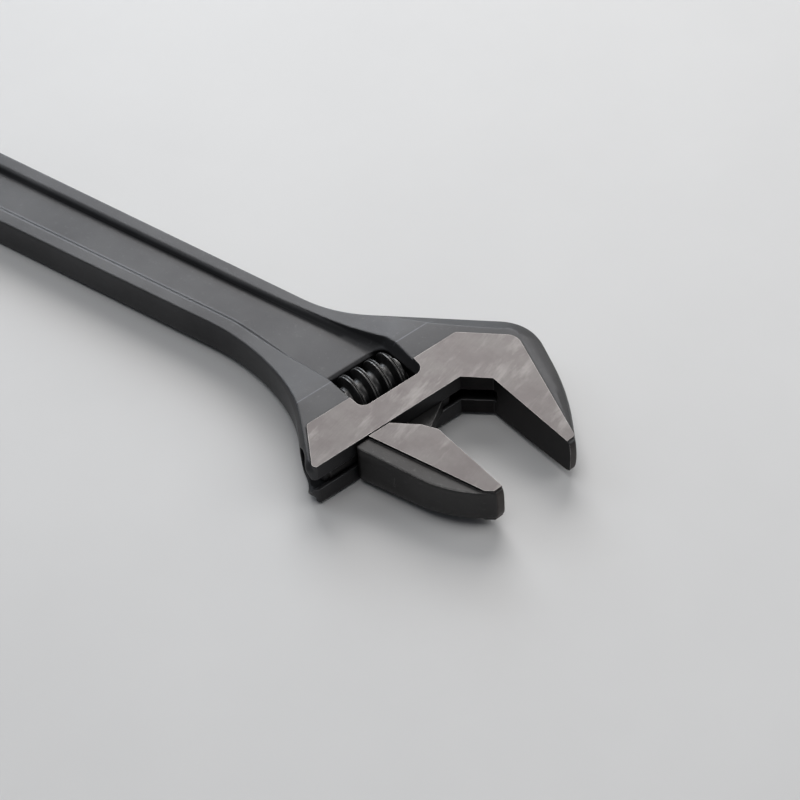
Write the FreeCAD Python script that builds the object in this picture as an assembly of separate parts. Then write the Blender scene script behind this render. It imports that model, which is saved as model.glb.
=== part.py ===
import FreeCAD, Part
import math
import os

from FreeCAD import Placement, Rotation, Vector

# Adjustable wrench, 200 mm class, with extra-wide opening jaws. All sizes are in millimetres.
#
# Part frame: origin at the centre of the hanging hole on the mid-plane, +X along the handle
# towards the head, +Z through the thickness.
# Head frame, used for everything below: origin at the tip of the fixed jaw's gripping face,
# x along the jaws towards their tips, y along the slide towards the fixed jaw, z as above.

# ---------------------------------------------------------------- driving dimensions
HEAD_ANGLE = 15.0            # the jaws are turned this far from the handle's axis
HEAD_X, HEAD_Y = 200.0, 4.0  # place of the head frame's origin in the part frame

JAW_OPENING = 19.4           # distance between the gripping faces in the modelled pose
JAW_DEPTH = 30.9             # from the jaw tips to the slide's edge
TIP_HALF = 4.9               # half thickness of the head at the jaw tips
HEAD_TAPER = 0.0356          # the ground faces open towards the handle by this slope
GROUND_STEP = 0.35           # the ground face stands this far above the forged face
GROUND_BACK = 42.4           # from the jaw tips to the back edge of the ground face
CREASE = 49.4                # from the jaw tips to the crease where the head slopes down
RAIL_START = 80.0            # the slope ends here, and the handle's rails are level
RAIL_HALF = 4.25             # half thickness of the handle's rails
HANDLE_HALF_WIDTH = 9.2
END_HALF_WIDTH = 10.6
HANDLE_END = -11.0           # x of the handle's end in the part frame
WEB_HALF = 2.7               # half thickness of the web between the rails
HANG_RADIUS = 4.75
HANG_CHAMFER = 0.8

TALL = 7.0                   # half height of the cutting and trimming solids
WIDE = 80.0                  # half width of the trimming slabs
OUTSIDE = -60.0              # y of a place outside the head, where cuts come in from

SLIDE_X = -36.5              # axis of the cylindrical slide
SLIDE_RADIUS = 4.9
SLIDE_FIT = 0.10             # running fit of the slide in its bore
SLIDE_BLIND = 12.4           # the bore ends here, inside the fixed jaw
SLIDE_END, SLIDE_TAIL = -7.9, -43.6
NECK_HALF = 1.60             # half thickness of the neck between slide and blade
NECK_GAP = 0.20              # room on each side of the neck in its slot

STRIP_BACK = 38.05           # from the jaw tips to the back edge of the bridge over the slide
WINDOW_BACK = 53.0           # from the jaw tips to the handle side of the worm's window
WINDOW_LIP = 0.8             # width of the rounding on that side
WINDOW_LOW, WINDOW_HIGH = -27.95, -11.45
WORM_X = -46.0
WORM_LOW, WORM_HIGH = -27.5, -11.9
WORM_RADIUS, WORM_CORE = 6.57, 4.25
WORM_PITCH = 3.82            # one start, left-hand
WORM_CREST, WORM_FLANK = 0.85, 0.62   # width of the crest, and of each flank
WORM_CREST_Y = -21.5         # y of one crest on the upper side
THREAD_END = 1.4             # bevel on both ends of the thread
WORM_BORE, WORM_COUNTERBORE = 1.70, 2.95
SPRING_POCKET = 9.0          # depth of the counterbore that holds the spring
PIN_RADIUS, PIN_HEAD_RADIUS = 1.60, 2.20
PIN_SEAT, PIN_END = -37.9, -5.0
PIN_FIT, PIN_HEAD_FIT = 0.05, 0.15
PIN_SLOT_WIDTH, PIN_SLOT_END = 0.7, -40.5
SPRING_WIRE, SPRING_MEAN, SPRING_TURNS = 0.5, 2.32, 6
SPRING_GAP = 0.1             # the spring's ends stand this far off what they push on
RACK_GAP = 0.35              # room between worm thread and rack

FACET_HIGH, FACET_LOW = (-25.5, 0.0), (-30.9, -5.4)   # ends of the throat's facet

BLADE_GAP = 0.40             # room between the blade and the slide's edge
BLADE_STEP = 0.75            # the blade's rim lies this far below its ground face

TURN = math.radians(HEAD_ANGLE)
PART_FROM_HEAD = Placement(Vector(HEAD_X, HEAD_Y, 0), Rotation(Vector(0, 0, 1), -HEAD_ANGLE))
ALONG_SLIDE = Rotation(Vector(1, 0, 0), -90)    # turns +Z to +Y
FACE = -JAW_OPENING          # y of the movable jaw's gripping face


# ---------------------------------------------------------------- small tools
def grip(along, across):
    """Head-frame place of a point given along and across the handle, in the part frame."""
    dx, dy = along - HEAD_X, across - HEAD_Y
    return dx * math.cos(TURN) - dy * math.sin(TURN), dx * math.sin(TURN) + dy * math.cos(TURN)


def grip_lean(along, across):
    """Head-frame direction of a lean given along and across the handle."""
    return (along * math.cos(TURN) - across * math.sin(TURN),
            along * math.sin(TURN) + across * math.cos(TURN))


def corner(point, radius, lean=(0, 0), top_radius=None, column=0):
    """Corner of an outline: place, rounding, how both change at full lean, and which of a
    level's shares it follows."""
    return point, radius, lean, radius if top_radius is None else top_radius, column


def ring(corners, z, shares=(0.0, 0.0)):
    """Closed wire of lines and arcs at height z, with each corner leaning by its share."""
    spots, radii = [], []
    for (x, y), low, (lean_x, lean_y), high, column in corners:
        share = shares[column]
        spots.append(Vector(x + share * lean_x, y + share * lean_y, z))
        radii.append(low + share * (high - low))
    arcs = []
    for i, here in enumerate(spots):
        back = (spots[i - 1] - here).normalize()
        ahead = (spots[(i + 1) % len(spots)] - here).normalize()
        half = back.getAngle(ahead) / 2
        reach = radii[i] / math.tan(half)
        middle = (back + ahead).normalize() * (radii[i] / math.sin(half) - radii[i])
        arcs.append((here + back * reach, here + middle, here + ahead * reach))
    edges = []
    for i, (start, middle, end) in enumerate(arcs):
        edges.append(Part.LineSegment(arcs[i - 1][2], start).toShape())
        edges.append(Part.Arc(start, middle, end).toShape())
    return Part.Wire(edges)


def drafted(corners, levels):
    """Solid through one ring for each level: its height, then one or two shares of the lean."""
    rings = [ring(corners, z, (shares[0], shares[-1])) for z, *shares in levels]
    return Part.makeLoft(rings, True, True)


def mirrored(levels):
    """The same levels on both sides of the mid-plane."""
    return [(-z, *shares) for z, *shares in reversed(levels) if z > 0] + levels


def prism(corners, low, high):
    """Straight solid over a rounded outline."""
    return Part.Face(ring(corners, low)).extrude(Vector(0, 0, high - low))


def rod(radius, x, low, high):
    """Round solid along the slide direction."""
    return Part.makeCylinder(radius, high - low, Vector(x, low, 0), Vector(0, 1, 0))


def circles(shape):
    return [edge for edge in shape.Edges if edge.Curve.TypeId == "Part::GeomCircle"]


def ground_height(x, drop=0.0):
    return TIP_HALF - HEAD_TAPER * x - drop


def wedge(x_low, x_high, drop=0.0):
    """Slab between the two ground faces, or faces lowered from them, over a range of x."""
    outline = [(x_low, ground_height(x_low, drop)), (x_high, ground_height(x_high, drop)),
               (x_high, -ground_height(x_high, drop)), (x_low, -ground_height(x_low, drop))]
    points = [Vector(x, -WIDE, z) for x, z in outline]
    return Part.Face(Part.makePolygon(points + points[:1])).extrude(Vector(0, 2 * WIDE, 0))


def both_faces(solid):
    """The solid and its mirror image below the mid-plane."""
    return [solid, solid.mirror(Vector(0, 0, 0), Vector(0, 0, 1))]


def save(shape, name):
    solid = shape.removeSplitter() if shape.ShapeType != "Solid" else shape
    if solid.ShapeType == "Compound" and len(solid.Solids) == 1:
        solid = solid.Solids[0]
    solid = solid.copy()
    solid.Placement = PART_FROM_HEAD.multiply(solid.Placement)
    print(f"{name}: valid {solid.isValid()}, {len(solid.Solids)} solid, {solid.Volume:.1f} mm3")
    solid.exportStep(f"parts/{name}.step")


# ---------------------------------------------------------------- body
def forging():
    """Handle, head and fixed jaw as one forging, with walls drafted from the mid-plane."""
    outline = [
        corner((0.8, -3.0), 0.3, (-1.3, 0.0)),
        corner((0.9, 1.9), 0.8, (-1.9, -0.9), 0.4),
        corner((-12.9, 12.2), 70.0, (-4.0, -7.1), 62.0),
        corner((-35.2, 20.7), 12.0, (2.0, -9.9), 3.5),
        corner(grip(129.8, 9.4), 34.0, grip_lean(1.0, -2.7), 37.0),
        corner(grip(HANDLE_END, END_HALF_WIDTH), 9.8, grip_lean(2.2, -2.2), 7.6),
        corner(grip(HANDLE_END, -END_HALF_WIDTH), 9.8, grip_lean(2.2, 2.2), 7.6),
        corner(grip(117.6, -9.5), 60.0, grip_lean(0.1, 0.6), 61.0),
        corner(grip(138.2, -17.2), 45.0, grip_lean(0.2, 0.5), 46.0),
        corner((-JAW_DEPTH + 0.4, -51.2), 3.0, (0.0, 3.4), 2.5),
        corner((-JAW_DEPTH + 0.4, -8.0), 0.5),
        corner((-24.0, -3.0), 0.5),
    ]
    levels = [(0.0, 0.0), (1.6, 0.02), (2.8, 0.06), (3.7, 0.115), (4.2, 0.18), (TALL, 1.0)]
    return drafted(outline, mirrored(levels))


def thickness():
    """Thickness of the forging: tapered head, crease, and a long hollow slope to the rails."""
    peak = ground_height(-CREASE, GROUND_STEP)
    tip = ground_height(5.0, GROUND_STEP)
    run = RAIL_START - CREASE
    mid_x, mid_z = -CREASE - run / 2, RAIL_HALF + (peak - RAIL_HALF) / 4
    far = -250.0

    def side(sign):
        return [
            Part.LineSegment(Vector(5, -WIDE, sign * tip), Vector(-CREASE, -WIDE, sign * peak)),
            Part.Arc(Vector(-CREASE, -WIDE, sign * peak), Vector(mid_x, -WIDE, sign * mid_z),
                     Vector(-RAIL_START, -WIDE, sign * RAIL_HALF)),
            Part.LineSegment(Vector(-RAIL_START, -WIDE, sign * RAIL_HALF),
                             Vector(far, -WIDE, sign * RAIL_HALF)),
        ]

    ends = [Part.LineSegment(Vector(5, -WIDE, -tip), Vector(5, -WIDE, tip)),
            Part.LineSegment(Vector(far, -WIDE, -RAIL_HALF), Vector(far, -WIDE, RAIL_HALF))]
    edges = [curve.toShape() for curve in side(1) + side(-1) + ends]
    return Part.Face(Part.Wire(Part.__sortEdges__(edges))).extrude(Vector(0, 2 * WIDE, 0))


def throat():
    """Space between slide edge and fixed jaw, with the 45 degree facet in its corner."""
    outline = [
        corner((8.0, 0.0), 0.2),
        corner(FACET_HIGH, 0.4),
        corner(FACET_LOW, 0.4),
        corner((-JAW_DEPTH, -70.0), 0.2),
        corner((8.0, -70.0), 0.2),
    ]
    return prism(outline, -TALL, TALL)


def ground_faces():
    """The two raised, ground faces of the head and fixed jaw."""
    outline = [
        corner((-0.1, -1.0), 0.2),
        corner((-0.4, 2.5), 0.9),
        corner((-2.0, 3.05), 0.6),
        corner((-32.2, 13.1), 4.0),
        corner((-GROUND_BACK, 2.9), 1.2),
        corner((-GROUND_BACK, -41.1), 1.3),
        corner((-JAW_DEPTH + 0.2, -48.4), 1.1),
        corner((-JAW_DEPTH + 0.2, -7.0), 0.2),
        corner((-24.0, -1.0), 0.2),
    ]
    return prism(outline, -TALL, TALL).common(wedge(-GROUND_BACK - 1, 1))


def pocket():
    """Sunk panel of one face, from the hanging hole to the bridge. Its walls roll from the
    web into the rails: the handle's corners follow the second share of each level."""
    outline = [
        corner((-STRIP_BACK, -27.9), 2.2, (0.0, -0.8)),
        corner((-STRIP_BACK, -12.2), 1.8, (0.0, 2.8), 2.8),
        corner((-53.2, -12.6), 3.0, (1.2, 4.2), 4.0),
        corner((-62.0, -15.0), 25.0, (-0.6, 2.4), 25.0),
        corner(grip(100.0, 5.1), 60.0, grip_lean(0, 1.2), 60.0, 1),
        corner(grip(17.0, 5.6), 5.2, grip_lean(-1.2, 1.2), 6.3, 1),
        corner(grip(17.0, -5.6), 5.2, grip_lean(-1.2, -1.2), 6.3, 1),
        corner(grip(112.0, -5.2), 60.0, grip_lean(0, -1.2), 60.0, 1),
        corner((-52.4, -28.1), 15.0, (0.0, -0.7), 15.0),
    ]
    top = TALL + 0.5
    levels = [(WEB_HALF, -0.60, -1.0), (2.80, -0.42, -0.65), (2.98, -0.24, -0.35),
              (3.25, -0.08, -0.12), (3.70, 0.12, 0.12), (3.97, 0.22, 0.35),
              (4.15, 0.29, 0.65), (RAIL_HALF, 0.33, 1.0), (top, 1.0, 1.0)]
    return drafted(outline, levels)


def worm_window():
    """Opening for the worm, with its handle side rounded over to the web."""
    outline = [
        corner((-STRIP_BACK, WINDOW_LOW), 2.2),
        corner((-STRIP_BACK, WINDOW_HIGH), 0.8),
        corner((-WINDOW_BACK, WINDOW_HIGH), 2.6, (-WINDOW_LIP, 0.0), 4.2),
        corner((-WINDOW_BACK, WINDOW_LOW), 1.5, (-WINDOW_LIP, 0.0), 1.8),
    ]
    lip = [(WEB_HALF - 0.55, 0.0), (WEB_HALF - 0.28, 0.4), (WEB_HALF - 0.08, 0.8), (WEB_HALF, 1.0)]
    return drafted(outline, mirrored([(0.0, 0.0)] + lip + [(TALL, 1.0)]))


def neck_slot():
    """Slot for the neck, from the open end of the bore to a blind pocket in the fixed jaw."""
    shut = JAW_OPENING + 0.4
    outline = [
        corner((SLIDE_X, OUTSIDE), 0.5),
        corner((-24.3, OUTSIDE), 0.5),
        corner((-24.3, FACE + shut), 0.4),
        corner((-26.1, -17.6 + shut), 0.6),
        corner((-30.9, -10.0 + shut), 0.8),
        corner((SLIDE_X, -10.0 + shut), 0.4),
    ]
    return prism(outline, -NECK_HALF - NECK_GAP, NECK_HALF + NECK_GAP)


def hang_hole():
    x, y = grip(0, 0)
    hole = Part.makeCylinder(HANG_RADIUS, 2 * TALL, Vector(x, y, -TALL))
    cone_low, rise = RAIL_HALF - HANG_CHAMFER, 2 * HANG_CHAMFER
    sink = Part.makeCone(HANG_RADIUS, HANG_RADIUS + rise, rise, Vector(x, y, cone_low))
    return hole.multiFuse(both_faces(sink))


def pin_hole():
    hole = rod(PIN_RADIUS + PIN_FIT, WORM_X, PIN_SEAT - 1, PIN_END + 0.3)
    return hole.fuse(rod(PIN_HEAD_RADIUS + PIN_HEAD_FIT, WORM_X, OUTSIDE, PIN_SEAT))


def body():
    shape = forging().common(thickness())
    shape = shape.fuse(ground_faces()).cut(throat())
    shape = shape.cut(both_faces(pocket()))
    bore = rod(SLIDE_RADIUS + SLIDE_FIT, SLIDE_X, OUTSIDE, SLIDE_BLIND)
    return shape.cut([worm_window(), bore, neck_slot(), hang_hole(), pin_hole()])


# ---------------------------------------------------------------- movable jaw
def blade():
    """Gripping blade with a drafted, rounded back and a rim below its ground face."""
    inner = -JAW_DEPTH + BLADE_GAP - 0.3
    outline = [
        corner((inner, -37.1), 1.4, (0.0, 0.4), 1.0),
        corner((-5.8, -29.6), 28.0, (-0.3, 0.5)),
        corner((0.8, -21.5), 1.0, (-0.9, 0.3), 0.7),
        corner((0.7, FACE + 1), 0.3, (-1.2, 0.0)),
        corner((inner, FACE + 1), 0.3),
    ]
    levels = [(0.0, 0.0), (2.4, 0.05), (3.3, 0.15), (4.0, 0.35), (4.6, 0.7), (5.2, 1.0), (TALL, 1.6)]
    return drafted(outline, mirrored(levels)).common(wedge(-40, 5, BLADE_STEP))


def blade_outside():
    """Everything past the blade's gripping face, its heel and its side to the slide's edge."""
    inner = -JAW_DEPTH + BLADE_GAP
    outline = [
        corner((8.0, FACE), 0.2),
        corner((8.0, 20.0), 0.2),
        corner((inner - 3, 20.0), 0.2),
        corner((inner - 3, OUTSIDE), 0.2),
        corner((inner, OUTSIDE), 0.2),
        corner((inner, -26.6), 0.4),
        corner((-25.3, -21.4), 1.0),
        corner((-21.7, FACE), 1.0),
    ]
    return prism(outline, -TALL, TALL)


def blade_ground_faces():
    inner = -JAW_DEPTH + BLADE_GAP - 0.3
    outline = [
        corner((inner, -32.6), 0.3),
        corner((-1.5, -23.3), 0.6),
        corner((0.1, -21.7), 0.5),
        corner((0.0, FACE + 1), 0.2),
        corner((inner, FACE + 1), 0.2),
    ]
    return prism(outline, -TALL, TALL).common(wedge(-40, 1))


def neck():
    """Flat web that joins the slide to the blade and runs on towards the fixed jaw."""
    outline = [
        corner((SLIDE_X, -35.4), 0.4),
        corner((-20.0, -34.0), 0.4),
        corner((-20.0, FACE), 0.4),
        corner((-24.9, FACE), 0.4),
        corner((-26.4, -18.0), 0.6),
        corner((-31.2, -10.5), 0.8),
        corner((SLIDE_X, -10.5), 0.4),
    ]
    return prism(outline, -NECK_HALF, NECK_HALF)


def rack_slots():
    """Slots across the slide's handle side, inclined like the worm's thread."""
    worm_reach = WORM_X + WORM_RADIUS
    floor_x, mouth_x = worm_reach + RACK_GAP, SLIDE_X - SLIDE_RADIUS - 0.5
    slope = WORM_FLANK / (WORM_RADIUS - WORM_CORE)
    floor_half = WORM_CREST / 2 + RACK_GAP - slope * RACK_GAP
    mouth_half = floor_half + slope * (floor_x - mouth_x)
    angle = math.degrees(math.atan(WORM_PITCH / (2 * math.pi * (WORM_RADIUS - 0.8))))
    first_y = WORM_CREST_Y - WORM_PITCH / 4
    section = [(mouth_x, -mouth_half), (floor_x, -floor_half),
               (floor_x, floor_half), (mouth_x, mouth_half)]
    points = [Vector(x, y, -TALL) for x, y in section]
    slot = Part.Face(Part.makePolygon(points + points[:1])).extrude(Vector(0, 0, 2 * TALL))
    slot.rotate(Vector(0, 0, 0), Vector(1, 0, 0), -angle)
    slots = []
    for n in range(-5, 6):
        y = first_y + n * WORM_PITCH
        if SLIDE_TAIL - mouth_half < y < SLIDE_END + mouth_half:
            slots.append(slot.translated(Vector(0, y, 0)))
    return slots


def movable_jaw():
    slide = rod(SLIDE_RADIUS, SLIDE_X, SLIDE_TAIL, SLIDE_END)
    slide = slide.makeChamfer(0.5, circles(slide))
    shape = blade().fuse(blade_ground_faces()).cut(blade_outside())
    return shape.fuse([neck(), slide]).cut(rack_slots())


# ---------------------------------------------------------------- worm, pin and spring
def worm():
    """Thumb-turned worm with a left-hand thread, bored for the pin and the spring."""
    turns_low = math.floor((WORM_LOW - WORM_CREST_Y) / WORM_PITCH) - 1
    turns_high = math.ceil((WORM_HIGH - WORM_CREST_Y) / WORM_PITCH) + 1
    start_y = WORM_CREST_Y + turns_low * WORM_PITCH
    height = (turns_high - turns_low) * WORM_PITCH
    foot = WORM_CORE - 0.4
    foot_half = WORM_CREST / 2 + WORM_FLANK * (WORM_RADIUS - foot) / (WORM_RADIUS - WORM_CORE)
    helix = Part.makeHelix(WORM_PITCH, height, WORM_RADIUS, 0, True)
    section = [(foot, -foot_half), (WORM_RADIUS, -WORM_CREST / 2),
               (WORM_RADIUS, WORM_CREST / 2), (foot, foot_half)]
    points = [Vector(x, 0, z) for x, z in section]
    thread = Part.Wire(helix).makePipeShell([Part.makePolygon(points + points[:1])], True, True)
    # helix axis to +y, and its start from +x to +z
    thread.Placement = Placement(Vector(WORM_X, start_y, 0),
                                 ALONG_SLIDE.multiply(Rotation(Vector(0, 0, 1), -90)))
    trim = rod(WORM_RADIUS + 0.2, WORM_X, WORM_LOW + 0.3, WORM_HIGH - 0.3)
    trim = trim.makeChamfer(THREAD_END, circles(trim))
    core = rod(WORM_CORE, WORM_X, WORM_LOW, WORM_HIGH)
    shape = core.fuse(thread.common(trim))
    bore = rod(WORM_BORE, WORM_X, WORM_LOW - 1, WORM_HIGH + 1)
    counterbore = rod(WORM_COUNTERBORE, WORM_X, WORM_HIGH - SPRING_POCKET, WORM_HIGH + 1)
    return shape.cut([bore, counterbore])


def worm_pin():
    """Slotted pin that the worm turns on, its head dressed flush with the side of the head."""
    shank = rod(PIN_RADIUS, WORM_X, PIN_SEAT - 0.5, PIN_END)
    head = rod(PIN_HEAD_RADIUS, WORM_X, OUTSIDE, PIN_SEAT).common(forging())
    slot = Part.makeBox(PIN_SLOT_WIDTH, PIN_SLOT_END - OUTSIDE, 4 * PIN_HEAD_RADIUS)
    slot.translate(Vector(WORM_X - PIN_SLOT_WIDTH / 2, OUTSIDE, -2 * PIN_HEAD_RADIUS))
    return shank.fuse(head).cut(slot)


def worm_spring():
    """Compression spring that takes up the worm's end play."""
    low = WORM_HIGH - SPRING_POCKET + SPRING_WIRE / 2 + SPRING_GAP
    high = WINDOW_HIGH - SPRING_WIRE / 2 - SPRING_GAP
    pitch = (high - low) / SPRING_TURNS
    helix = Part.makeHelix(pitch, high - low, SPRING_MEAN)
    circle = Part.Wire(Part.makeCircle(SPRING_WIRE / 2, Vector(SPRING_MEAN, 0, 0), Vector(0, 1, 0)))
    coil = Part.Wire(helix).makePipeShell([circle], True, True)
    coil.Placement = Placement(Vector(WORM_X, low, 0), ALONG_SLIDE)
    return coil


def main():
    os.makedirs("parts", exist_ok=True)
    save(body(), "body")
    save(movable_jaw(), "movable_jaw")
    save(worm(), "worm")
    save(worm_pin(), "worm_pin")
    save(worm_spring(), "worm_spring")


main()
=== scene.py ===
import math

import bmesh
import bpy
from mathutils import Matrix, Vector


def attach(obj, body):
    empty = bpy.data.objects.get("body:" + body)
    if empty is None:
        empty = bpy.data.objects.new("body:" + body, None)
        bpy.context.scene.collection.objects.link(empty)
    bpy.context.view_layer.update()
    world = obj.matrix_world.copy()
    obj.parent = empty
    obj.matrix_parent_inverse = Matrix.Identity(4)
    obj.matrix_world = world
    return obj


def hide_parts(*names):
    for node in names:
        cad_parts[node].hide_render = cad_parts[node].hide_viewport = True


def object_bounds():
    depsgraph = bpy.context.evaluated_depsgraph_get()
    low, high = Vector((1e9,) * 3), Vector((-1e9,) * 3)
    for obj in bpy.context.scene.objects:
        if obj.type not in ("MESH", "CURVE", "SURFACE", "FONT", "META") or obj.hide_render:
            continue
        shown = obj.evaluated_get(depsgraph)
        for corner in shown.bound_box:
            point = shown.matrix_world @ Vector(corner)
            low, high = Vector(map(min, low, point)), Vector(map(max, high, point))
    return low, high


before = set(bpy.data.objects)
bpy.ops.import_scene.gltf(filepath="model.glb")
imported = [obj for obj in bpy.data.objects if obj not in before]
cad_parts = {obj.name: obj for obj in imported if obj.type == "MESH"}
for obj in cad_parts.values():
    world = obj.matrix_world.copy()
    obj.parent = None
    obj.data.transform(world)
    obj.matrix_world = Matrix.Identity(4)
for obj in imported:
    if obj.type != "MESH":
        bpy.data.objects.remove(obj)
cad_low, cad_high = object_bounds()

MM = 0.001
HEAD_ANGLE = math.radians(15)
HEAD_ORIGIN = Vector((0.200, 0.004, 0.0))
HEAD_TAPER = 0.0356              # rise of a ground face for each unit of length behind the tips
TIP_HALF = 4.9 * MM              # half the head's thickness at the tips
CREASE = 49.4 * MM               # from the tips back to the crease across the head
JAW_OPENING = 19.4               # between the gripping faces in the modelled pose, in mm
ROUND_WIDTH = 0.45 * MM          # rounding of the forged edges
GROUND_WIDTH = 0.12 * MM         # rounding of the edges of ground and milled faces
WELD = 0.004 * MM                # corners nearer than this are one corner
FLAT = math.radians(0.8)         # faces that meet at less than this are one face
HARD = math.radians(24)          # edges sharper than this are rounded
# The last place holds the lighter finish of rounded edges: wear and a painted highlight.
PLAIN_FACE, GROUND_FACE, MILLED_FACE, TIP_FACE, HIGHLIGHT_AND_WEAR_EDGE = range(5)   # places among the finishes


# ---------------------------------------------------------------- places
def head(x, y, z=0.0):
    """Row-frame place of a point given in the head frame, in millimetres."""
    c, s = math.cos(HEAD_ANGLE), math.sin(HEAD_ANGLE)
    return HEAD_ORIGIN + Vector((x * c + y * s, y * c - x * s, z)) * MM


def to_head(p):
    """Head-frame place, in metres, of a row-frame point."""
    c, s = math.cos(HEAD_ANGLE), math.sin(HEAD_ANGLE)
    d = p - HEAD_ORIGIN
    return Vector((d.x * c - d.y * s, d.x * s + d.y * c, d.z))


# ---------------------------------------------------------------- node helpers
class Graph:
    """Short way to write a material's nodes."""

    def __init__(self, name):
        self.material = bpy.data.materials.new(name)
        self.material.use_nodes = True
        self.tree = self.material.node_tree
        self.shader = self.tree.nodes["Principled BSDF"]
        self.place = self.add("ShaderNodeTexCoord").outputs["Object"]

    def add(self, kind, **settings):
        node = self.tree.nodes.new(kind)
        for key, value in settings.items():
            setattr(node, key, value)
        return node

    def link(self, source, target):
        self.tree.links.new(source, target)

    def put(self, target, value):
        if isinstance(value, bpy.types.NodeSocket):
            self.link(value, target)
        else:
            target.default_value = value

    def stretch(self, scale, turn=0.0):
        node = self.add("ShaderNodeMapping")
        self.link(self.place, node.inputs["Vector"])
        node.inputs["Scale"].default_value = scale
        node.inputs["Rotation"].default_value = (0, 0, turn)
        return node.outputs["Vector"]

    def noise(self, scale, detail=4.0, rough=0.6, vector=None):
        node = self.add("ShaderNodeTexNoise")
        self.link(vector or self.place, node.inputs["Vector"])
        node.inputs["Scale"].default_value = scale
        node.inputs["Detail"].default_value = detail
        node.inputs["Roughness"].default_value = rough
        return node.outputs["Fac"]

    def math(self, kind, a, b=0.0):
        node = self.add("ShaderNodeMath", operation=kind)
        self.put(node.inputs[0], a)
        self.put(node.inputs[1], b)
        return node.outputs[0]

    def mix(self, fac, a, b):
        node = self.add("ShaderNodeMix", data_type="RGBA")
        self.put(node.inputs["Factor"], fac)
        self.put(node.inputs["A"], a)
        self.put(node.inputs["B"], b)
        return node.outputs["Result"]

    def over(self, color, cover, share, top):
        """The color, changed by the given share to the top color where cover is 1."""
        return self.mix(self.math("MULTIPLY", cover, share), color, (*top, 1))

    def mask(self, value, low, high):
        node = self.add("ShaderNodeMapRange")
        self.put(node.inputs["Value"], value)
        node.inputs["From Min"].default_value = low
        node.inputs["From Max"].default_value = high
        return node.outputs["Result"]

    def edge(self, radius, low, high):
        """1 near convex and concave edges, 0 on open surface."""
        bevel = self.add("ShaderNodeBevel", samples=6)
        bevel.inputs["Radius"].default_value = radius
        geometry = self.add("ShaderNodeNewGeometry")
        dot = self.add("ShaderNodeVectorMath", operation="DOT_PRODUCT")
        self.link(bevel.outputs["Normal"], dot.inputs[0])
        self.link(geometry.outputs["Normal"], dot.inputs[1])
        return self.mask(dot.outputs["Value"], high, low)

    def corners(self, distance):
        """1 in tight inner corners, 0 on open surface: the mask for painted shade in corners."""
        node = self.add("ShaderNodeAmbientOcclusion", samples=6, only_local=True)
        node.inputs["Distance"].default_value = distance
        return self.mask(node.outputs["AO"], 0.96, 0.62)

    def crease_highlight_mask(self, half_width):
        """1 on the crease behind the head, on its two faces only: the mask of a painted highlight
        there.
        """
        split = self.add("ShaderNodeSeparateXYZ")
        self.link(self.place, split.inputs[0])
        across_x = self.math("MULTIPLY", split.outputs["X"], math.cos(HEAD_ANGLE))
        across_y = self.math("MULTIPLY", split.outputs["Y"], -math.sin(HEAD_ANGLE))
        start = HEAD_ORIGIN.x * math.cos(HEAD_ANGLE) - HEAD_ORIGIN.y * math.sin(HEAD_ANGLE)
        off = self.math("SUBTRACT", self.math("ADD", across_x, across_y), start - CREASE)
        line = self.mask(self.math("ABSOLUTE", off), half_width, half_width * 0.4)
        high = self.mask(self.math("ABSOLUTE", split.outputs["Z"]), 5.2 * MM, 5.6 * MM)
        return self.math("MULTIPLY", line, high)

    def soft_edges(self, radius):
        """Normal that rolls over every edge of the surface, as on a blasted forging."""
        bevel = self.add("ShaderNodeBevel", samples=8)
        bevel.inputs["Radius"].default_value = radius
        return bevel.outputs["Normal"]

    def bump(self, height, strength, distance, normal=None):
        node = self.add("ShaderNodeBump")
        self.link(height, node.inputs["Height"])
        node.inputs["Strength"].default_value = strength
        node.inputs["Distance"].default_value = distance
        if normal is not None:
            self.link(normal, node.inputs["Normal"])
        return node.outputs["Normal"]

    def finish(self, color, roughness, normal=None, metallic=0.0):
        self.put(self.shader.inputs["Base Color"], color)
        self.put(self.shader.inputs["Roughness"], roughness)
        if normal is not None:
            self.link(normal, self.shader.inputs["Normal"])
        self.shader.inputs["Metallic"].default_value = metallic
        return self.material


# ---------------------------------------------------------------- materials
def forged_material(name, dark, light, edge_color, roughness,
                    edge_width=0.35 * MM, edge_share=0.6):
    """Phosphated forging: fine blasted grain, soft mottling, edges lightened as wear and as a
    painted highlight, painted shade in tight corners and a painted highlight on the crease.
    """
    g = Graph(name)
    cloud = g.noise(45, 3, 0.55)
    grain = g.noise(2600, 3, 0.6)
    specks = g.noise(900, 4, 0.7)
    color = g.mix(g.mask(cloud, 0.35, 0.68), (*dark, 1), (*light, 1))
    color = g.over(color, g.mask(specks, 0.58, 0.78), 0.20, edge_color)
    # Edges lightened: wear on the forged body, and on the jaw (wider, stronger share) a painted
    # highlight along the rim.
    wear_and_highlight = g.math("MULTIPLY", g.edge(edge_width, 0.92, 0.988),
                    g.mask(g.noise(700, 3, 0.7), 0.3, 0.62))
    color = g.over(color, wear_and_highlight, edge_share, edge_color)
    # Painted shade: tight inner corners and the foot of small steps darkened nearly to black.
    color = g.over(color, g.corners(0.8 * MM), 0.8, (0.008, 0.008, 0.008))
    # Painted highlight: a thin lighter bluish line along the crease.
    crease = g.math("MULTIPLY", g.crease_highlight_mask(0.22 * MM), g.mask(g.noise(500, 3, 0.6), 0.2, 0.5))
    color = g.over(color, crease, 0.55, (0.135, 0.14, 0.155))
    rough = g.math("ADD", g.math("MULTIPLY", cloud, 0.12), roughness - 0.06)
    rough = g.math("SUBTRACT", rough, g.math("MULTIPLY", wear_and_highlight, 0.12))
    normal = g.bump(grain, 0.30, 0.05 * MM, g.soft_edges(0.7 * MM))
    normal = g.bump(g.noise(420, 2, 0.5), 0.10, 0.15 * MM, normal)
    return g.finish(color, rough, normal, metallic=0.9)


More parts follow.
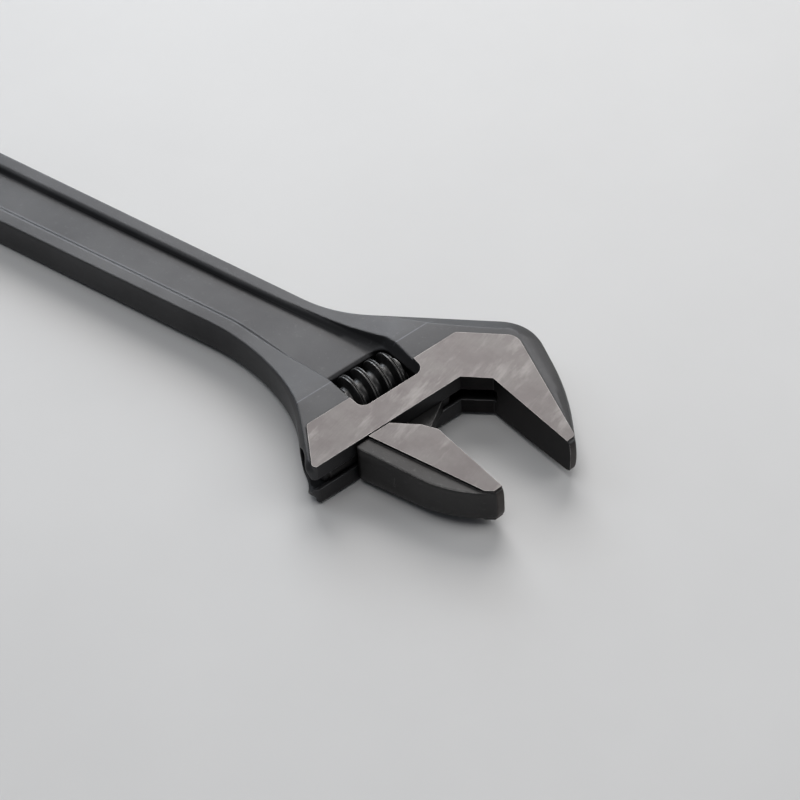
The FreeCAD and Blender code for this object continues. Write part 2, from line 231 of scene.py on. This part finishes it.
def ground_material():
    """Ground steel with a light brown phosphate: fine straight scratches, cloudy patches and a
    painted highlight along the edges.
    """
    g = Graph("ground_steel")
    lines = g.noise(1.0, 4, 0.65, g.stretch((2600, 120, 2600), HEAD_ANGLE))
    cross = g.noise(1.0, 3, 0.6, g.stretch((160, 1500, 1500), HEAD_ANGLE))
    cloud = g.noise(130, 5, 0.62)
    patches = g.noise(260, 4, 0.65, g.stretch((1, 0.30, 1), HEAD_ANGLE))
    color = g.mix(g.mask(cloud, 0.38, 0.66), (0.100, 0.091, 0.091, 1), (0.134, 0.125, 0.123, 1))
    color = g.over(color, g.mask(patches, 0.52, 0.68), 0.6, (0.200, 0.190, 0.186))
    color = g.over(color, g.mask(lines, 0.5, 0.75), 0.25, (0.080, 0.073, 0.071))
    # Painted highlight: edges of the ground faces made nearly white.
    bright = g.math("MULTIPLY", g.edge(0.22 * MM, 0.90, 0.99),
                    g.mask(g.noise(260, 3, 0.6), 0.25, 0.6))
    color = g.over(color, bright, 0.8, (0.46, 0.44, 0.43))
    rough = g.math("ADD", g.math("MULTIPLY", cloud, 0.22), 0.30)
    height = g.math("ADD", lines, g.math("MULTIPLY", cross, 0.6))
    normal = g.bump(height, 0.22, 0.03 * MM)
    return g.finish(color, rough, normal, metallic=0.9)


def milled_material(name, dark, light, bright_share, roughness):
    """Milled face with fine cutter lines through the thickness."""
    g = Graph(name)
    lines = g.noise(1.0, 4, 0.7, g.stretch((2300, 2300, 130)))
    cloud = g.noise(240, 4, 0.6)
    color = g.mix(g.mask(cloud, 0.36, 0.66), (*dark, 1), (*light, 1))
    color = g.over(color, g.mask(lines, 0.52, 0.72), 0.35, dark)
    bright = g.math("MULTIPLY", g.edge(0.30 * MM, 0.90, 0.99),
                    g.mask(g.noise(420, 3, 0.6), 0.25, 0.55))
    color = g.over(color, bright, bright_share, (0.40, 0.385, 0.38))
    rough = g.math("ADD", g.math("MULTIPLY", cloud, 0.18), roughness - 0.09)
    return g.finish(color, rough, g.bump(lines, 0.25, 0.04 * MM), metallic=0.85)


def dark_steel(name, dark, light, roughness):
    """Oiled black steel with faint turning marks, and edges lightened as wear and as a painted
    highlight.
    """
    g = Graph(name)
    cloud = g.noise(400, 4, 0.6)
    color = g.mix(g.mask(cloud, 0.35, 0.7), (*dark, 1), (*light, 1))
    grain = g.mask(g.noise(1500, 4, 0.7), 0.50, 0.66)
    color = g.over(color, grain, 0.55, [0.45 * part for part in dark])
    # Edges lightened: wear, and a painted highlight on the worm's crest edges.
    color = g.over(color, g.edge(0.18 * MM, 0.9, 0.99), 0.7, (0.42, 0.41, 0.40))
    rough = g.math("ADD", g.math("MULTIPLY", cloud, 0.2), roughness - 0.1)
    normal = g.bump(g.noise(1800, 3, 0.6), 0.15, 0.04 * MM)
    return g.finish(color, rough, normal, metallic=0.85)


FORGED = forged_material("forged_steel", (0.048, 0.048, 0.050), (0.070, 0.070, 0.072),
                         (0.17, 0.17, 0.175), 0.46)
JAW = forged_material("jaw_steel", (0.042, 0.041, 0.041), (0.064, 0.063, 0.063),
                      (0.24, 0.235, 0.23), 0.44, 0.45 * MM, 0.85)
# Lighter finish on the jaw's rounded edges: edge wear and a painted highlight along the rim.
JAW_RIM_HIGHLIGHT_AND_WEAR = forged_material("rim_highlight_and_wear", (0.075, 0.074, 0.074), (0.150, 0.147, 0.145),
                           (0.30, 0.295, 0.29), 0.38)
GROUND = ground_material()
GRIP = milled_material("grip_steel", (0.011, 0.010, 0.011), (0.022, 0.020, 0.020), 0.12, 0.50)
TIP = milled_material("tip_steel", (0.036, 0.031, 0.030), (0.072, 0.064, 0.061), 0.85, 0.42)
WORM = dark_steel("worm_steel", (0.040, 0.040, 0.041), (0.075, 0.074, 0.073), 0.38)
PIN = dark_steel("pin_steel", (0.05, 0.05, 0.052), (0.09, 0.09, 0.092), 0.42)
WIRE = dark_steel("spring_steel", (0.22, 0.22, 0.225), (0.32, 0.32, 0.325), 0.30)


# ---------------------------------------------------------------- meshes from the frame
def is_ground(face):
    """True for the two ground faces: their slope and height are those of the head's taper."""
    centre = to_head(face.calc_center_median())
    height = TIP_HALF - HEAD_TAPER * centre.x
    slope = abs(face.normal.z)
    return slope > 0.998 and abs(abs(centre.z) - height) < 0.08 * MM


def finish_of(face):
    """Which finish a face has. The gripping faces and the throat's wall are milled."""
    if is_ground(face):
        return GROUND_FACE
    centre = to_head(face.calc_center_median()) / MM
    along = face.normal.x * math.cos(HEAD_ANGLE) - face.normal.y * math.sin(HEAD_ANGLE)
    across = face.normal.x * math.sin(HEAD_ANGLE) + face.normal.y * math.cos(HEAD_ANGLE)
    if along > 0.9 and centre.x > -2.0:
        return TIP_FACE
    gripping = min(abs(centre.y), abs(centre.y + JAW_OPENING)) < 0.3 and centre.x > -27.0
    if gripping and abs(across) > 0.98:
        return MILLED_FACE
    throat = -31.2 < centre.x < -25.0 and -34.0 < centre.y < 0.3
    if throat and along > 0.6 and abs(face.normal.z) < 0.1:
        return MILLED_FACE
    return PLAIN_FACE


def rounded_copy(node, materials, edge_finish=-1):
    """The node's shape as one clean mesh with every hard edge rounded, and the roundings in a
    finish of their own where edge_finish gives its place in materials. It rides on the body
    that has the node's name."""
    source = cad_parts[node]
    bm = bmesh.new()
    bm.from_mesh(source.data)
    bmesh.ops.remove_doubles(bm, verts=bm.verts, dist=WELD)
    bmesh.ops.dissolve_limit(bm, angle_limit=FLAT, verts=bm.verts, edges=bm.edges)
    weights = bm.edges.layers.float.new("bevel_weight_edge")
    for face in bm.faces:
        face.smooth = True
        face.material_index = finish_of(face)
    for edge in bm.edges:
        if len(edge.link_faces) != 2:
            continue
        if edge.calc_face_angle(0) > HARD:
            finished = any(face.material_index != PLAIN_FACE for face in edge.link_faces)
            edge[weights] = GROUND_WIDTH / ROUND_WIDTH if finished else 1.0
        elif all(abs(to_head(v.co).x + CREASE) < 0.05 * MM for v in edge.verts):
            edge.smooth = False
    mesh = bpy.data.meshes.new(node + "_surface")
    bm.to_mesh(mesh)
    bm.free()
    for material in materials:
        mesh.materials.append(material)
    piece = bpy.data.objects.new(node + "_surface", mesh)
    bpy.context.scene.collection.objects.link(piece)
    bevel = piece.modifiers.new("edges", "BEVEL")
    bevel.limit_method = "WEIGHT"
    bevel.width = ROUND_WIDTH
    bevel.segments = 3
    bevel.material = edge_finish
    bevel.use_clamp_overlap = True
    bevel.loop_slide = True
    bevel.miter_outer = "MITER_ARC"
    flat = piece.modifiers.new("flat_faces", "WEIGHTED_NORMAL")
    flat.mode = "FACE_AREA"
    flat.weight = 80
    flat.keep_sharp = True
    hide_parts(node)
    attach(piece, node)


rounded_copy("body", [FORGED, GROUND, GRIP, TIP])
rounded_copy("movable_jaw", [JAW, GROUND, GRIP, TIP, JAW_RIM_HIGHLIGHT_AND_WEAR], HIGHLIGHT_AND_WEAR_EDGE)

# ---------------------------------------------------------------- worm, in head-frame millimetres
WORM_X, WORM_LOW, WORM_HIGH = -46.0, -27.5, -11.9
WORM_RADIUS, WORM_CORE, WORM_BORE = 6.56, 4.25, 1.70
WORM_PITCH, WORM_CREST_Y = 3.82, -21.5
WORM_STEPS = 120                 # facets round one turn
END_RADIUS = WORM_RADIUS - 1.4   # where the thread's crest meets the worm's ends
END_MARGIN = 0.3                 # the crest's slope starts this far inside the worm's ends
BORE_CHAMFER = 0.25
LEAST_ISLAND = 50                # fewer joined faces than this are a scrap
THREAD_FLANK = [(-1.35, 4.25), (-1.16, 4.31), (-1.06, 4.46), (-0.64, 6.22), (-0.58, 6.43),
                (-0.48, 6.54), (-0.30, 6.56), (-0.17, 6.50), (-0.11, 6.28)]   # (offset, radius)
THREAD_PROFILE = ([(-1.91, 4.25)] + THREAD_FLANK + [(0.0, 6.20)]
                  + [(-offset, radius) for offset, radius in reversed(THREAD_FLANK)])


def drop_scraps(bm, least):
    """Delete scraps of fewer than the given number of faces, loose or hung on a folded edge."""
    left = set(bm.faces)
    while left:
        island, front = set(), [left.pop()]
        while front:
            face = front.pop()
            island.add(face)
            joins = [edge.link_faces for edge in face.edges if len(edge.link_faces) == 2]
            near = {other for pair in joins for other in pair} & left
            left -= near
            front.extend(near)
        if len(island) < least:
            bmesh.ops.delete(bm, geom=list(island), context="FACES")


def make_worm():
    """Left-hand worm with a filleted root, rounded crest and a fine groove along the crest."""
    steps = WORM_STEPS
    first = math.floor((WORM_LOW - WORM_CREST_Y) / WORM_PITCH) - 1
    last = math.ceil((WORM_HIGH - WORM_CREST_Y) / WORM_PITCH) + 1
    low, high = WORM_LOW + END_MARGIN, WORM_HIGH - END_MARGIN
    bm = bmesh.new()

    def spot(angle, y, radius):
        return bm.verts.new(head(WORM_X + radius * math.sin(angle), y, radius * math.cos(angle)))

    columns = []
    for i in range((last - first) * steps + 1):
        turn = i / steps
        column = []
        for offset, radius in THREAD_PROFILE:
            y = WORM_CREST_Y + (first + turn) * WORM_PITCH + offset
            inside = min(y - low, high - y)
            radius = max(WORM_CORE, min(radius, END_RADIUS + inside))
            y = min(max(y, WORM_LOW), WORM_HIGH)
            column.append(spot(-2 * math.pi * turn, y, radius))
        columns.append(column)
    rows = len(THREAD_PROFILE)
    for i in range(len(columns) - 1):
        for k in range(rows - 1):
            bm.faces.new((columns[i][k], columns[i][k + 1],
                          columns[i + 1][k + 1], columns[i + 1][k]))
        if i + 1 + steps < len(columns):
            bm.faces.new((columns[i][-1], columns[i + steps][0],
                          columns[i + 1 + steps][0], columns[i + 1][-1]))
    for end in (WORM_LOW, WORM_HIGH):
        inward = BORE_CHAMFER if end == WORM_LOW else -BORE_CHAMFER
        profile = [(end, WORM_CORE), (end, WORM_BORE + BORE_CHAMFER), (end + inward, WORM_BORE),
                   ((WORM_LOW + WORM_HIGH) / 2, WORM_BORE)]
        rings = [[spot(-2 * math.pi * k / steps, y, radius) for k in range(steps)]
                 for y, radius in profile]
        for outer, inner in zip(rings, rings[1:]):
            for k in range(steps):
                near = (k + 1) % steps
                bm.faces.new((outer[k], outer[near], inner[near], inner[k]))
    bmesh.ops.remove_doubles(bm, verts=bm.verts, dist=0.002 * MM)
    bmesh.ops.dissolve_degenerate(bm, dist=0.002 * MM, edges=bm.edges)
    drop_scraps(bm, LEAST_ISLAND)
    bmesh.ops.recalc_face_normals(bm, faces=bm.faces)
    for face in bm.faces:
        face.smooth = True
    for edge in bm.edges:
        edge.smooth = edge.calc_face_angle(0) < math.radians(40)
    mesh = bpy.data.meshes.new("worm_thread")
    bm.to_mesh(mesh)
    bm.free()
    mesh.materials.append(WORM)
    piece = bpy.data.objects.new("worm_thread", mesh)
    bpy.context.scene.collection.objects.link(piece)
    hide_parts("worm")
    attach(piece, "worm")


make_worm()
for node, material in (("worm_pin", PIN), ("worm_spring", WIRE)):
    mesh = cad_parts[node].data
    mesh.materials.clear()
    mesh.materials.append(material)


# ---------------------------------------------------------------- floor, light and camera
REST_HEAD = head(WORM_X, -19.5, -6.59)     # under the worm, the thickest place
REST_END = Vector((cad_low.x, 0.0, -4.25 * MM))      # under the rail at the handle's end
FLOOR_HALF_SIZE = 3.0


def make_floor():
    """Pale floor that touches the worm and the handle's end, as the tool lies on a table."""
    slope = math.atan2(REST_END.z - REST_HEAD.z, REST_HEAD.x - REST_END.x)
    mesh = bpy.data.meshes.new("floor")
    bm = bmesh.new()
    bmesh.ops.create_grid(bm, x_segments=1, y_segments=1, size=FLOOR_HALF_SIZE)
    bm.to_mesh(mesh)
    bm.free()
    floor = bpy.data.objects.new("floor", mesh)
    bpy.context.scene.collection.objects.link(floor)
    floor.rotation_euler = (0, slope, 0)
    floor.location = REST_HEAD
    g = Graph("floor")
    cloud = g.mask(g.noise(12, 4, 0.6), 0.3, 0.7)
    tone = g.mix(cloud, (0.65, 0.65, 0.65, 1), (0.68, 0.68, 0.68, 1))
    mesh.materials.append(g.finish(tone, 0.6))


def area_light(name, place, target, size, power, color):
    """Rectangular lamp at a place, turned to face its target."""
    data = bpy.data.lights.new(name, "AREA")
    data.shape = "RECTANGLE"
    data.size, data.size_y = size
    data.energy = power
    data.color = color
    lamp = bpy.data.objects.new(name, data)
    bpy.context.scene.collection.objects.link(lamp)
    lamp.location = place
    lamp.rotation_mode = "QUATERNION"
    lamp.rotation_quaternion = (Vector(target) - Vector(place)).to_track_quat("-Z", "Y")


def make_world():
    world = bpy.data.worlds.new("studio")
    world.use_nodes = True
    back = world.node_tree.nodes["Background"]
    back.inputs["Color"].default_value = (0.85, 0.9, 1.0, 1)
    back.inputs["Strength"].default_value = 0.10
    bpy.context.scene.world = world


CAMERA_AIM = Vector((0.15786, -0.00236, 0.0))
CAMERA_HEADING = math.radians(129.73)      # direction of view in plan, from +X towards +Y
CAMERA_DROP = math.radians(46.35)          # how steeply it looks down
CAMERA_ROLL = math.radians(5.08)
CAMERA_DISTANCE = 0.5099
CAMERA_LENS, CAMERA_SENSOR = 99.0, 36.0


def make_camera():
    ahead = Vector((math.cos(CAMERA_HEADING) * math.cos(CAMERA_DROP),
                    math.sin(CAMERA_HEADING) * math.cos(CAMERA_DROP), -math.sin(CAMERA_DROP)))
    data = bpy.data.cameras.new("camera")
    data.lens = CAMERA_LENS
    data.sensor_width = CAMERA_SENSOR
    data.clip_start, data.clip_end = 0.01, 20.0
    camera = bpy.data.objects.new("camera", data)
    bpy.context.scene.collection.objects.link(camera)
    camera.rotation_mode = "QUATERNION"
    camera.rotation_quaternion = (ahead.to_track_quat("-Z", "Y")
                                  @ Matrix.Rotation(-CAMERA_ROLL, 3, "Z").to_quaternion())
    camera.location = CAMERA_AIM - ahead * CAMERA_DISTANCE
    bpy.context.scene.camera = camera


LIGHTS = (   # name, place, target's x, size, power, color
    ("back_softbox", (-0.35, 0.75, 0.78), 0.13, (0.8, 0.7), 7.5, (1.0, 0.98, 0.96)),
    ("low_softbox", (-0.70, 0.80, 0.42), 0.13, (0.7, 0.4), 5, (0.86, 0.93, 1.0)),
    ("far_softbox", (0.15, 1.0, 0.30), 0.15, (0.7, 0.3), 1.3, (1.0, 0.98, 0.95)),
    ("right_softbox", (0.95, 0.60, 0.70), 0.10, (0.7, 0.6), 3.0, (1.0, 0.99, 0.97)),
    ("top_softbox", (0.16, -0.12, 0.95), 0.13, (0.6, 0.6), 2.4, (1.0, 0.99, 0.98)),
    ("left_softbox", (-0.7, -0.1, 0.6), 0.13, (0.5, 0.5), 1.2, (0.90, 0.95, 1.0)),
)

make_floor()
for name, place, target_x, size, power, color in LIGHTS:
    area_light(name, place, (target_x, 0, 0), size, power, color)
make_world()
make_camera()
bpy.context.scene.view_settings.view_transform = "Standard"
